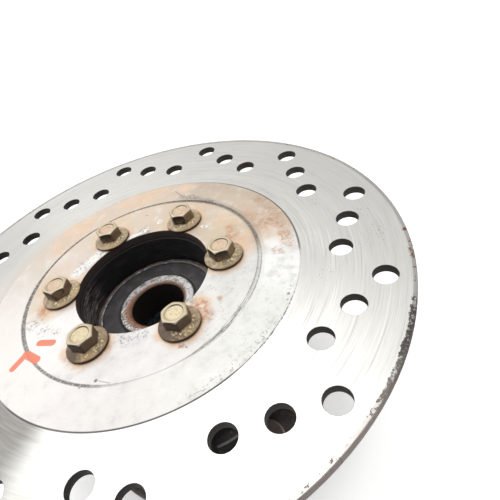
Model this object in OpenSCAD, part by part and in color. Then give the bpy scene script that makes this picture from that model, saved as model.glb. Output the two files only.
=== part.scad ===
// Motorcycle wheel hub carrying a drilled brake disc, with its two sealed ball bearings.
// Z is the axle line. The hub stands on its sprocket spigot at z = 0, with the disc on top.

/* [Brake disc] */
// Outside diameter of the disc
disc_d = 180; // [176:1:200]
// Thickness of the disc where the pads never reach
disc_t = 3.1; // [2.5:0.1:4.5]
// Diameter of the hole in the middle of the disc
disc_bore_d = 48.2; // [46:0.1:49]
// Inside diameter of the band that the pads sweep
track_inner_d = 111; // [106:1:120]
// Width of the unswept lip left at the edge
lip_w = 1.2; // [0.8:0.1:2]
// Depth that the pads have worn into each face
wear_depth = 0.12; // [0.05:0.01:0.3]
// Diameter of the shallow turned line round the bolts
line_d = 85; // [80:0.5:100]
// Width of the turned line
line_w = 1.2; // [0.4:0.1:2]
// Depth of the turned line
line_depth = 0.12; // [0.05:0.01:0.4]
// Chamfer on the disc's edges
disc_chamfer = 0.2; // [0.1:0.05:0.6]

/* [Drilled holes] */
// Diameter of each drilled hole
drill_d = 7.6; // [6:0.1:8]
// Number of times the group of three holes repeats
drill_groups = 12; // [8:1:12]
// Distance from the disc's edge to the outer hole of a group
outer_row_in = 8.7; // [7:0.1:10]
// Distance from the disc's edge to the middle hole of a group
middle_row_in = 16.3; // [14:0.1:18]
// Distance from the disc's edge to the inner hole of a group
inner_row_in = 21.3; // [20:0.1:26]
// Direction of the first outer hole
drill_start = 65.3; // [0:0.1:90]
// Angle from the outer hole back to the middle hole
middle_lag = 8.9; // [8:0.1:10]
// Angle from the outer hole back to the inner hole
inner_lag = 19.7; // [17:0.1:21]
// Chamfer round the mouth of each hole
drill_chamfer = 0.1; // [0.05:0.05:0.5]

/* [Disc bolts] */
// Number of bolts that hold the disc
bolt_count = 6; // [4:1:6]
// Diameter of the bolt circle
bolt_pcd = 59.4; // [58:0.1:62]
// Direction of the first bolt
bolt_start = -7.2; // [-30:0.1:30]
// Thread diameter of the bolts
thread_d = 6; // [5:0.5:6]
// Length of the bolts under the head
bolt_reach = 15; // [10:0.5:20]
// Width across the flats of the hexagon
bolt_af = 8; // [7:0.5:10]
// Height of the whole head, flange included
bolt_head_h = 6; // [5:0.1:8]
// Diameter of the bolt's flange
bolt_flange_d = 13.6; // [12:0.1:15]
// Thickness of the flange at its edge
bolt_flange_t = 1; // [0.6:0.1:1.4]
// Height of the flange where it meets the hexagon
bolt_cone_h = 2.1; // [1.6:0.1:3]
// Diameter of the dish in the top of the head
bolt_dish_d = 6.2; // [5:0.1:6.6]
// Depth of the dish
bolt_dish_depth = 0.5; // [0.1:0.05:0.7]

/* [Hub] */
// Width of the hub from the spigot's face to the disc's seat
hub_h = 77; // [70:1:90]
// Wall of the barrel outside the bearing seats
barrel_wall = 6; // [5:0.5:8]
// Depth of the waist in the barrel
waist_depth = 2.2; // [1:0.1:3]
// Height of the waist, tapers included
waist_h = 30; // [24:1:36]
// Height of the taper at each end of the waist
waist_taper = 8; // [4:1:11]
// Wall of the six bosses round the disc bolts
disc_boss_wall = 4.3; // [3.5:0.1:5]
// Height of the straight part of the disc bosses
disc_boss_h = 18; // [16:0.5:22]
// Height of the taper under the disc bosses
disc_boss_taper = 14; // [8:1:16]
// Thickness of the round rim between the disc bosses
disc_rim_t = 7; // [4:0.5:10]
// How far the rim stays inside the bosses
disc_rim_step = 2; // [1:0.1:3]
// Depth of the tapped holes for the disc bolts
tapped_depth = 15; // [12.5:0.5:18]
// Radius of the fillet between the barrel and the flange
root_fillet = 7; // [4:0.5:10]

/* [Sprocket flange] */
// Diameter of the sprocket flange
flange_d = 100; // [98:1:110]
// Thickness of the sprocket flange
flange_t = 6; // [5:0.5:8]
// Diameter of the spigot that centres the sprocket
spigot_d = 60; // [58:0.5:64]
// Height of the spigot
spigot_h = 3; // [2:0.5:5]
// Number of sprocket bolts
sprocket_count = 6; // [4:1:6]
// Diameter of the sprocket bolt circle
sprocket_pcd = 81; // [80:0.5:84]
// Diameter of the sprocket bolt holes
sprocket_hole_d = 8.4; // [6.4:0.1:8.6]
// Diameter of the round boss behind each sprocket bolt
sprocket_boss_d = 18.5; // [16:0.5:18.5]
// Height of the boss above the flange
sprocket_boss_h = 2.5; // [1.5:0.5:4]
// Thickness of the ribs between the bosses
rib_t = 4; // [3:0.5:5]
// Height of the ribs above the flange
rib_h = 34; // [26:1:40]
// Radius of the hollow curve of the ribs
rib_curve_r = 60; // [45:1:100]
// Distance from the flange's edge to the foot of the ribs
rib_foot_gap = 3; // [2:0.5:5]

/* [Bearings] */
// Bore of both bearings, which is the axle's diameter
bearing_bore = 20; // [19:0.5:20.5]
// Outside diameter of both bearings
bearing_od = 47; // [46.5:0.5:47.5]
// Width of both bearings
bearing_w = 14; // [13:0.5:15]
// Diameter of the balls
ball_d = 7.94; // [7.5:0.01:8.1]
// Number of balls in each bearing
ball_count = 8; // [6:1:8]
// Radial gap between the shoulders of the two races
shoulder_gap = 5.1; // [4.8:0.1:5.6]
// Depth of the upper bearing's face below the disc's seat
upper_sink = 11; // [8:0.1:13]
// Depth of the lower bearing's face inside the spigot
lower_sink = 9; // [7:0.5:12]
// Width of the chamfer at the mouth of the inner races
bore_chamfer = 1.4; // [0.8:0.1:1.6]
// Wall of the distance spacer
spacer_wall = 3; // [2.5:0.1:3.5]
// Thickness of the cage's sheet steel
cage_sheet = 0.65; // [0.5:0.05:0.7]
// Radial width of the cage
cage_w = 3.5; // [3:0.1:3.8]
// Diameter of the cage rivets
rivet_d = 1.1; // [0.9:0.1:1.2]

/* [Clearances] */
// Radial play of the bolts in the tapped holes
thread_play = 0.05; // [0.02:0.01:0.1]
// Radial play of the bolts in the disc
disc_hole_play = 0.25; // [0.15:0.05:0.4]
// Radial play of the outer races in their seats
seat_play = 0.01; // [0.01:0.01:0.03]
// Play between a ball and the races
ball_play = 0.04; // [0.02:0.01:0.06]
// Play between a ball and its cage pocket
pocket_play = 0.08; // [0.06:0.01:0.12]
// Running gap between a seal's lip and the inner race
lip_gap = 0.05; // [0.03:0.01:0.08]
// Gap round a part that sits in a groove or hole of its neighbour
seated_gap = 0.05; // [0.03:0.01:0.08]
// Radial play of the axle in the distance spacer
spacer_play = 0.3; // [0.1:0.05:0.5]

/* [Hidden] */
$fn = 96;
eps = 0.01; // overlap of a cut past the face that it opens
past = 1;   // how far a drill runs past a face

// Where each bolt head came to rest when it was tightened
head_turns = [58, 41, 51, 20, 32, 32];

// Disc
disc_r = disc_d / 2;
track_outer_r = disc_r - lip_w;

// Hub
bolt_r = bolt_pcd / 2;
disc_boss_r = thread_d / 2 + disc_boss_wall;
barrel_r = bearing_od / 2 + barrel_wall;
flange_top = spigot_h + flange_t;
boss_top = flange_top + sprocket_boss_h;
edge_chamfer = 0.8;   // on the machined rims of the hub
core_relief = 1.3;    // how much wider the cast core is than the shoulders
shoulder_h = 3.5;     // axial length of the shoulder under each bearing
drill_point = 1.8;    // height of the cone left by the tapping drill
rib_toe_h = 1;        // height of a rib's foot above the flange

// Bearings
pitch_r = (bearing_bore + bearing_od) / 4;
inner_shoulder_r = pitch_r - shoulder_gap / 2;
outer_shoulder_r = pitch_r + shoulder_gap / 2;
groove_r = 0.52 * ball_d;
half_w = bearing_w / 2;
upper_mid_z = hub_h - upper_sink - half_w;
lower_mid_z = lower_sink + half_w;
race_chamfer = 0.8;   // outer corners of the outer race
race_break = 0.3;     // small corners of the races
seal_bite = 1.8;      // how far the seals reach into the outer race
seal_bead = 0.4;      // extra reach of the seal's snap bead
seal_sink = 0.3;      // the seal's face below the race's face
seal_t = 1.6;         // thickness of a seal
plate_t = 0.4;        // thickness of the steel plate in a seal
plate_margin = 1.35;  // rubber left inside the plate's hole
seal_skirt = 0.6;     // depth of the seal's rim above its bead
seal_outer_r = outer_shoulder_r + seal_bite;
shoulder_bore_r = outer_shoulder_r + 1.2; // hub's shoulder stays on the outer race alone
pocket_r = ball_d / 2 + pocket_play;
rivet_head_r = rivet_d / 2 + 0.4;
rivet_head_h = 0.4;

// Centre of an arc of radius r through a and b, on the right hand of the way from a to b
function arc_centre(a, b, r) =
    let (d = b - a, c = norm(d), h = sqrt(r * r - c * c / 4))
    (a + b) / 2 + h * [d[1], -d[0]] / c;

module ring(r_in, r_out, h) {
    difference() {
        cylinder(r = r_out, h = h);
        translate([0, 0, -past]) cylinder(r = r_in, h = h + 2 * past);
    }
}

module around(count, start = 0) {
    for (i = [0 : count - 1]) rotate(start + i * 360 / count) children();
}

// ---- brake disc

module disc_section() {
    c = disc_chamfer;
    difference() {
        polygon([
            [disc_bore_d / 2, c], [disc_bore_d / 2 + c, 0], [disc_r - c, 0], [disc_r, c],
            [disc_r, disc_t - c], [disc_r - c, disc_t], [disc_bore_d / 2 + c, disc_t],
            [disc_bore_d / 2, disc_t - c],
        ]);
        for (z = [-past, disc_t - wear_depth])
            translate([track_inner_d / 2, z])
                square([track_outer_r - track_inner_d / 2, past + wear_depth]);
        translate([line_d / 2 - line_w / 2, disc_t - line_depth]) square([line_w, past]);
    }
}

module drilled_hole() {
    r = drill_d / 2;
    low = wear_depth;
    high = disc_t - wear_depth;
    translate([0, 0, -past]) cylinder(r = r, h = disc_t + 2 * past);
    translate([0, 0, low - past])
        cylinder(r1 = r + drill_chamfer + past, r2 = r, h = past + drill_chamfer);
    translate([0, 0, high - drill_chamfer])
        cylinder(r1 = r, r2 = r + drill_chamfer + past, h = past + drill_chamfer);
}

module brake_disc() {
    rows = [[outer_row_in, 0], [middle_row_in, middle_lag], [inner_row_in, inner_lag]];
    color("silver") translate([0, 0, hub_h]) difference() {
        rotate_extrude() disc_section();
        for (row = rows)
            around(drill_groups, drill_start - row[1])
                translate([disc_r - row[0], 0, 0]) drilled_hole();
        around(bolt_count, bolt_start)
            translate([bolt_r, 0, -past])
                cylinder(r = thread_d / 2 + disc_hole_play, h = disc_t + 2 * past);
    }
}

// ---- disc bolts

module hexagon_head() {
    corner_r = bolt_af / 2 / cos(30);
    top_r = bolt_af / 2;
    dish_floor_d = bolt_dish_d - 2 * bolt_dish_depth;
    difference() {
        intersection() {
            cylinder(r = corner_r, h = bolt_head_h, $fn = 6);
            rotate_extrude() polygon([
                [0, 0], [corner_r, 0], [corner_r, bolt_head_h - (corner_r - top_r) * tan(32)],
                [top_r, bolt_head_h], [0, bolt_head_h],
            ]);
        }
        translate([0, 0, bolt_head_h - bolt_dish_depth])
            cylinder(d1 = dish_floor_d, d2 = dish_floor_d + 2 * past, h = past);
    }
}

module flange_bolt(turn) {
    tip = thread_d / 8;
    rotate(turn) hexagon_head();
    rotate_extrude() polygon([
        [0, -bolt_reach], [thread_d / 2 - tip, -bolt_reach], [thread_d / 2, tip - bolt_reach],
        [thread_d / 2, 0], [bolt_flange_d / 2, 0], [bolt_flange_d / 2, bolt_flange_t],
        [bolt_af / 2, bolt_cone_h], [0, bolt_cone_h],
    ]);
}

module disc_bolts() {
    color("darkkhaki") translate([0, 0, hub_h + disc_t]) for (i = [0 : bolt_count - 1]) {
        angle = bolt_start + i * 360 / bolt_count;
        rotate(angle) translate([bolt_r, 0, 0]) flange_bolt(head_turns[i] - angle);
    }
}

// ---- hub

module hub_section() {
    waist_mid = (flange_top + hub_h - disc_boss_h) / 2;
    waist_low = waist_mid - waist_h / 2;
    waist_high = waist_mid + waist_h / 2;
    waist_r = barrel_r - waist_depth;
    c = edge_chamfer;
    polygon([
        [0, 0], [spigot_d / 2 - c, 0], [spigot_d / 2, c], [spigot_d / 2, flange_top], [0, flange_top],
    ]);
    polygon([
        [0, spigot_h], [flange_d / 2 - c, spigot_h], [flange_d / 2, spigot_h + c],
        [flange_d / 2, flange_top - c], [flange_d / 2 - c, flange_top], [0, flange_top],
    ]);
    polygon([
        [0, spigot_h], [barrel_r, spigot_h], [barrel_r, waist_low], [waist_r, waist_low + waist_taper],
        [waist_r, waist_high - waist_taper], [barrel_r, waist_high], [barrel_r, hub_h], [0, hub_h],
    ]);
    difference() {
        translate([0, flange_top - 1]) square([barrel_r + root_fillet, root_fillet + 1]);
        translate([barrel_r + root_fillet, flange_top + root_fillet]) circle(root_fillet);
    }
}

module hub_bores() {
    seat_r = bearing_od / 2 + seat_play;
    lower_seat = lower_mid_z + half_w;
    upper_seat = upper_mid_z - half_w;
    c = edge_chamfer / 2;
    translate([0, 0, -past]) cylinder(r = shoulder_bore_r, h = hub_h + 2 * past);
    translate([0, 0, lower_seat + shoulder_h])
        cylinder(r = shoulder_bore_r + core_relief, h = upper_seat - lower_seat - 2 * shoulder_h);
    translate([0, 0, -past]) cylinder(r = seat_r, h = lower_seat + past);
    translate([0, 0, upper_seat]) cylinder(r = seat_r, h = hub_h - upper_seat + past);
    translate([0, 0, -eps]) cylinder(r1 = seat_r + c, r2 = seat_r, h = c);
    translate([0, 0, hub_h - c]) cylinder(r1 = seat_r, r2 = seat_r + c, h = c + eps);
}

module disc_mounting() {
    seat_r = bolt_r + disc_boss_r;
    taper_top = hub_h - disc_boss_h;
    taper_base = taper_top - disc_boss_taper;
    translate([0, 0, hub_h - disc_rim_t]) cylinder(r = seat_r - disc_rim_step, h = disc_rim_t);
    intersection() {
        around(bolt_count, bolt_start)
            translate([bolt_r, 0, taper_base]) cylinder(r = disc_boss_r, h = hub_h - taper_base);
        rotate_extrude() polygon([
            [0, taper_base], [barrel_r - waist_depth, taper_base], [seat_r + 1, taper_top],
            [seat_r + 1, hub_h], [0, hub_h],
        ]);
    }
}

module tapped_hole() {
    r = thread_d / 2 + thread_play;
    translate([0, 0, hub_h - tapped_depth]) cylinder(r = r, h = tapped_depth + past);
    translate([0, 0, hub_h - tapped_depth - drill_point]) cylinder(r1 = 0, r2 = r, h = drill_point);
}

module sprocket_boss() {
    r = sprocket_boss_d / 2;
    c = edge_chamfer;
    translate([0, 0, spigot_h]) cylinder(r = r, h = boss_top - spigot_h - c);
    translate([0, 0, boss_top - c]) cylinder(r1 = r, r2 = r - c, h = c);
}

module rib() {
    foot = [flange_d / 2 - rib_foot_gap, flange_top + rib_toe_h];
    crown = [barrel_r - waist_depth - 0.5, flange_top + rib_h];
    root_r = bearing_od / 2 - 1; // ends inside the barrel's wall
    translate([0, rib_t / 2, 0]) rotate([90, 0, 0]) linear_extrude(rib_t) difference() {
        polygon([[root_r, spigot_h + 1], [foot[0], spigot_h + 1], foot, crown, [root_r, crown[1]]]);
        translate(arc_centre(foot, crown, rib_curve_r)) circle(rib_curve_r, $fn = 240);
    }
}

module hub_body() {
    color([0.13, 0.13, 0.14]) difference() {
        union() {
            rotate_extrude() hub_section();
            disc_mounting();
            around(sprocket_count) translate([sprocket_pcd / 2, 0, 0]) sprocket_boss();
            around(sprocket_count, 180 / sprocket_count) rib();
        }
        hub_bores();
        around(bolt_count, bolt_start) translate([bolt_r, 0, 0]) tapped_hole();
        around(sprocket_count)
            translate([sprocket_pcd / 2, 0, spigot_h - past])
                cylinder(d = sprocket_hole_d, h = boss_top - spigot_h + 2 * past);
    }
}

// ---- bearings, each drawn with its middle plane at z = 0

module both_ends() {
    children();
    mirror([0, 0, 1]) children();
}

module outer_race() {
    r = bearing_od / 2;
    c = race_chamfer;
    seal_depth = seal_sink + seal_t;
    color([0.55, 0.53, 0.5]) difference() {
        rotate_extrude() difference() {
            polygon([
                [outer_shoulder_r, -half_w], [r - c, -half_w], [r, c - half_w],
                [r, half_w - c], [r - c, half_w], [outer_shoulder_r, half_w],
            ]);
            translate([pitch_r + ball_d / 2 + ball_play - groove_r, 0]) circle(groove_r);
        }
        both_ends() {
            translate([0, 0, half_w - seal_depth - seated_gap])
                cylinder(r = seal_outer_r + seated_gap, h = seal_depth + past);
            translate([0, 0, half_w - seal_depth - seated_gap])
                cylinder(r = seal_outer_r + seal_bead + seated_gap, h = seal_t - seal_skirt + 2 * seated_gap);
        }
    }
}

module inner_race() {
    r = bearing_bore / 2;
    c = bore_chamfer;
    low_c = bore_chamfer * 0.65; // the mouth is wider than it is deep
    b = race_break;
    s = inner_shoulder_r;
    color([0.8, 0.79, 0.77]) rotate_extrude() difference() {
        polygon([
            [r, low_c - half_w], [r + c, -half_w], [s - b, -half_w], [s, b - half_w],
            [s, half_w - b], [s - b, half_w], [r + c, half_w], [r, half_w - low_c],
        ]);
        translate([pitch_r - ball_d / 2 - ball_play + groove_r, 0]) circle(groove_r);
    }
}

module balls() {
    color("lightsteelblue") around(ball_count) translate([pitch_r, 0, 0]) sphere(d = ball_d);
}

module cage_half() {
    color("tan") difference() {
        intersection() {
            union() {
                cylinder(r = pitch_r + cage_w, h = cage_sheet);
                around(ball_count) translate([pitch_r, 0, 0]) sphere(r = pocket_r + cage_sheet);
            }
            ring(pitch_r - cage_w / 2, pitch_r + cage_w / 2, half_w);
        }
        around(ball_count) translate([pitch_r, 0, 0]) sphere(r = pocket_r);
        around(ball_count, 180 / ball_count) translate([pitch_r, 0, -past])
            cylinder(d = rivet_d + 2 * seated_gap, h = half_w);
    }
}

module cage_rivets() {
    color("gray") around(ball_count, 180 / ball_count) translate([pitch_r, 0, 0]) {
        translate([0, 0, -cage_sheet]) cylinder(d = rivet_d, h = 2 * cage_sheet);
        both_ends() translate([0, 0, cage_sheet])
            cylinder(r1 = rivet_head_r, r2 = rivet_head_r / 2, h = rivet_head_h);
    }
}

module seal() {
    top = half_w - seal_sink;
    base = top - seal_t;
    lip_r = inner_shoulder_r + lip_gap;
    bead_r = seal_outer_r + seal_bead;
    plate_in = lip_r + plate_margin - seated_gap;
    color([0.3, 0.29, 0.3]) rotate_extrude() polygon([
        [lip_r, base + seal_t / 3], [lip_r + seal_t / 3, base], [plate_in, base],
        [plate_in, base + plate_t], [seal_outer_r - seated_gap, base + plate_t],
        [seal_outer_r - seated_gap, base], [bead_r, base], [bead_r, top - seal_skirt - seated_gap],
        [seal_outer_r, top - seal_skirt], [seal_outer_r, top], [lip_r + 1, top], [lip_r, top - seal_t / 4],
    ]);
}

module seal_plate() {
    base = half_w - seal_sink - seal_t;
    color("lightgray") translate([0, 0, base])
        ring(inner_shoulder_r + lip_gap + plate_margin, seal_outer_r - 2 * seated_gap, plate_t);
}

module distance_spacer() {
    r = bearing_bore / 2 + spacer_play;
    low = lower_mid_z + half_w;
    high = upper_mid_z - half_w;
    color("dimgray") translate([0, 0, low])
        ring(r, r + spacer_wall, high - low - seated_gap);
}

module in_upper_seat() { translate([0, 0, upper_mid_z]) children(); }
module in_lower_seat() { translate([0, 0, lower_mid_z]) children(); }
module flipped() { mirror([0, 0, 1]) children(); }

brake_disc();
disc_bolts();
hub_body();
distance_spacer();
in_upper_seat() outer_race();  // upper_outer_race
in_upper_seat() inner_race();  // upper_inner_race
in_upper_seat() balls();  // upper_balls
in_upper_seat() cage_half();  // upper_cage_top
in_upper_seat() flipped() cage_half();  // upper_cage_base
in_upper_seat() cage_rivets();  // upper_cage_rivets
in_upper_seat() seal();  // upper_seal_top
in_upper_seat() flipped() seal();  // upper_seal_base
in_upper_seat() seal_plate();  // upper_seal_plate_top
in_upper_seat() flipped() seal_plate();  // upper_seal_plate_base
in_lower_seat() outer_race();  // lower_outer_race
in_lower_seat() inner_race();  // lower_inner_race
in_lower_seat() balls();  // lower_balls
in_lower_seat() cage_half();  // lower_cage_top
in_lower_seat() flipped() cage_half();  // lower_cage_base
in_lower_seat() cage_rivets();  // lower_cage_rivets
in_lower_seat() seal();  // lower_seal_top
in_lower_seat() flipped() seal();  // lower_seal_base
in_lower_seat() seal_plate();  // lower_seal_plate_top
in_lower_seat() flipped() seal_plate();  // lower_seal_plate_base
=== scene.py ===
import math
import bpy
from mathutils import Matrix, Vector


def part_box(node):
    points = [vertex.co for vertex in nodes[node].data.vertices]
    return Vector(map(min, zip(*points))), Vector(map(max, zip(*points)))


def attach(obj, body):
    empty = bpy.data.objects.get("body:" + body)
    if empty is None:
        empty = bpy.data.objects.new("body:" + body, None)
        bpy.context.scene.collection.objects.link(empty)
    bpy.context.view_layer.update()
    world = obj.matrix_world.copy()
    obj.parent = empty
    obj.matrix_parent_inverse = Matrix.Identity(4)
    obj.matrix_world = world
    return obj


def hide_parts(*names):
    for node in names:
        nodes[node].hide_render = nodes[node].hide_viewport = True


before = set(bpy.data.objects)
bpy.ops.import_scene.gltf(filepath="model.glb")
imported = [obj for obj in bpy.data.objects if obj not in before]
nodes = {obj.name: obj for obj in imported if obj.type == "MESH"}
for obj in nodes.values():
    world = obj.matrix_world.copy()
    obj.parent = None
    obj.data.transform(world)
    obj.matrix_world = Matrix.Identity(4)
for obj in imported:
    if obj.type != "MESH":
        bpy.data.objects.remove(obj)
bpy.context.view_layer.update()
scene = bpy.context.scene
mm = 0.001
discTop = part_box("brake_disc")[1].z / mm
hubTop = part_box("hub_body")[1].z / mm
boltCircle = {"radius": 29.7, "start": -7.2, "count": 6}  # where the bolts stand, in mm and degrees
print("frame loaded")


def srgb(red, green, blue):  # 0 to 255 as seen on a screen, to linear light
    def linear(c):
        c = c / 255
        return c / 12.92 if c <= 0.04045 else ((c + 0.055) / 1.055) ** 2.4
    return (linear(red), linear(green), linear(blue), 1.0)


def boltCentres():  # seen along the axle, in mm
    c = boltCircle
    angles = [math.radians(c["start"] + 360 / c["count"] * k) for k in range(c["count"])]
    return [(c["radius"] * math.cos(a), c["radius"] * math.sin(a)) for a in angles]


class Graph:  # a tree of shader nodes, with a short call for each kind
    def __init__(self, tree):
        self.tree = tree
        self.coords = tree.nodes.new("ShaderNodeTexCoord")

    def feed(self, value, target):  # a number or colour is set, a socket is linked
        if isinstance(value, bpy.types.NodeSocket):
            self.tree.links.new(value, target)
        else:
            target.default_value = value

    def math(self, kind, *values):
        n = self.tree.nodes.new("ShaderNodeMath")
        n.operation = kind
        for value, target in zip(values, n.inputs):
            self.feed(value, target)
        return n.outputs[0]

    def vector(self, kind, *values, scale=None):
        n = self.tree.nodes.new("ShaderNodeVectorMath")
        n.operation = kind
        for value, target in zip(values, n.inputs):
            self.feed(value, target)
        if scale is not None:
            self.feed(scale, n.inputs["Scale"])
        return n.outputs["Value"] if kind in ("LENGTH", "DISTANCE", "DOT_PRODUCT") else n.outputs["Vector"]

    def split(self, vector):
        n = self.tree.nodes.new("ShaderNodeSeparateXYZ")
        self.feed(vector, n.inputs[0])
        return n.outputs

    def combine(self, x, y, z):
        n = self.tree.nodes.new("ShaderNodeCombineXYZ")
        for value, target in zip((x, y, z), n.inputs):
            self.feed(value, target)
        return n.outputs[0]

    def ramp(self, value, low, high, start=0.0, end=1.0):  # start below low, end above high
        n = self.tree.nodes.new("ShaderNodeMapRange")
        n.interpolation_type = "SMOOTHSTEP"
        self.feed(value, n.inputs["Value"])
        for label, number in (("From Min", low), ("From Max", high), ("To Min", start), ("To Max", end)):
            n.inputs[label].default_value = number
        return n.outputs["Result"]

    def fall(self, value, low, high):  # 1 below low, 0 above high
        return self.ramp(value, low, high, 1.0, 0.0)

    def band(self, value, low, high, soft):  # 1 between low and high
        rise = self.ramp(value, low - soft, low + soft)
        return self.times(rise, self.fall(value, high - soft, high + soft))

    def times(self, *values):
        result = values[0]
        for value in values[1:]:
            result = self.math("MULTIPLY", result, value)
        return result

    def plus(self, *values):
        result = values[0]
        for value in values[1:]:
            result = self.math("ADD", result, value)
        return result

    def most(self, *values):
        result = values[0]
        for value in values[1:]:
            result = self.math("MAXIMUM", result, value)
        return result

    def mix(self, under, over, amount):  # colours
        n = self.tree.nodes.new("ShaderNodeMix")
        n.data_type = "RGBA"
        self.feed(amount, n.inputs["Factor"])
        self.feed(under, n.inputs[6])
        self.feed(over, n.inputs[7])
        return n.outputs[2]

    def coat(self, under, over, *amounts):  # a colour laid over another, as strongly as all its amounts
        return self.mix(under, over, self.times(*amounts))

    def blend(self, under, over, amount):  # plain numbers
        n = self.tree.nodes.new("ShaderNodeMix")
        self.feed(amount, n.inputs["Factor"])
        self.feed(under, n.inputs[2])
        self.feed(over, n.inputs[3])
        return n.outputs[0]


class Finish(Graph):  # one material; all its lengths are in millimetres
    def __init__(self, name):
        self.mat = bpy.data.materials.new(name)
        self.mat.use_nodes = True
        super().__init__(self.mat.node_tree)
        self.shader = self.tree.nodes["Principled BSDF"]
        self.place = self.vector("SCALE", self.coords.outputs["Object"], scale=1 / mm)
        self.x, self.y, self.z = self.split(self.place)
        self.flat = self.combine(self.x, self.y, 0.0)
        self.radius = self.vector("LENGTH", self.flat)
        self.heading = self.vector("NORMALIZE", self.flat)
        self.normal = self.coords.outputs["Normal"]
        self.up = self.split(self.normal)[2]

    def toward(self, x, y):  # how far the surface faces that way
        return self.vector("DOT_PRODUCT", self.normal, (x, y, 0.0))

    def noise(self, where, size, detail=3.0, rough=0.55, colour=False):  # size is one lump, in mm
        n = self.tree.nodes.new("ShaderNodeTexNoise")
        self.feed(where, n.inputs["Vector"])
        n.inputs["Scale"].default_value = 1 / size
        n.inputs["Detail"].default_value = detail
        n.inputs["Roughness"].default_value = rough
        return n.outputs["Color" if colour else "Fac"]

    def streaks(self, length, across, along, detail, rough):  # noise drawn out round the axle
        turn = self.split(self.vector("SCALE", self.heading, scale=along))
        where = self.combine(self.times(length, across), turn[0], turn[1])
        return self.noise(where, 1.0, detail, rough)

    def turned(self, where):  # the direction of a place, 0 to 1 from -180 to 180 degrees
        parts = self.split(where)
        angle = self.math("ARCTAN2", parts[1], parts[0])
        return self.plus(self.times(angle, 0.5 / math.pi), 0.5)

    def around(self, turn, stops):  # a number or colour that changes round the axle
        n = self.tree.nodes.new("ShaderNodeValToRGB")
        self.feed(turn, n.inputs[0])
        ends = n.color_ramp.elements  # the first stop is at -180 degrees and the last at 180
        for angle, _ in stops[1:-1]:
            ends.new((angle + 180) / 360)
        for element, (angle, value) in zip(ends, stops):
            element.color = value if isinstance(value, tuple) else (value, value, value, 1.0)
        return n.outputs["Color"]

    def facing(self, angle, halfWidth, soft):  # 1 within halfWidth degrees of a direction
        a = math.radians(angle)
        dot = self.vector("DOT_PRODUCT", self.heading, (math.cos(a), math.sin(a), 0.0))
        edge = math.cos(math.radians(min(halfWidth + soft, 180)))
        return self.ramp(dot, edge, math.cos(math.radians(max(halfWidth - soft, 0))))

    def spot(self, where, x, y, size, soft):  # a round patch, 1 within size - soft
        distance = self.vector("DISTANCE", where, (x, y, 0.0))
        return self.fall(distance, max(size - soft, 0.0), size + soft)

    def spots(self, where, places):
        return self.most(*[self.spot(where, *place) for place in places])

    def stroke(self, where, ends, width, soft=0.15):  # a line through these points
        parts = []
        for start, end in zip(ends, ends[1:]):
            a, b = Vector((*start, 0.0)), Vector((*end, 0.0))
            way = (b - a).normalized()
            offset = self.vector("SUBTRACT", where, tuple((a + b) / 2))
            along = self.math("ABSOLUTE", self.vector("DOT_PRODUCT", offset, tuple(way)))
            past = self.math("MAXIMUM", self.math("SUBTRACT", along, (b - a).length / 2), 0.0)
            across = self.vector("DOT_PRODUCT", offset, (-way.y, way.x, 0.0))
            distance = self.vector("LENGTH", self.combine(past, across, 0.0))
            parts.append(self.fall(distance, width / 2 - soft, width / 2 + soft))
        return self.most(*parts)

    def strokes(self, where, lines):
        return self.most(*[self.stroke(where, *line) for line in lines])

    def bump(self, height, depth):  # depth in mm
        n = self.tree.nodes.new("ShaderNodeBump")
        n.inputs["Strength"].default_value = 1.0
        n.inputs["Distance"].default_value = depth * mm
        self.feed(height, n.inputs["Height"])
        return n.outputs["Normal"]

    def done(self, colour, roughness, metallic, normal, specular=0.5):
        self.feed(colour, self.shader.inputs["Base Color"])
        self.feed(roughness, self.shader.inputs["Roughness"])
        self.feed(metallic, self.shader.inputs["Metallic"])
        self.feed(normal, self.shader.inputs["Normal"])
        self.shader.inputs["Specular IOR Level"].default_value = specular
        return self.mat


def dress(nodeName, material):  # gives a CAD piece its finish
    piece = nodes[nodeName]
    piece.data.materials.clear()
    piece.data.materials.append(material)


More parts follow.
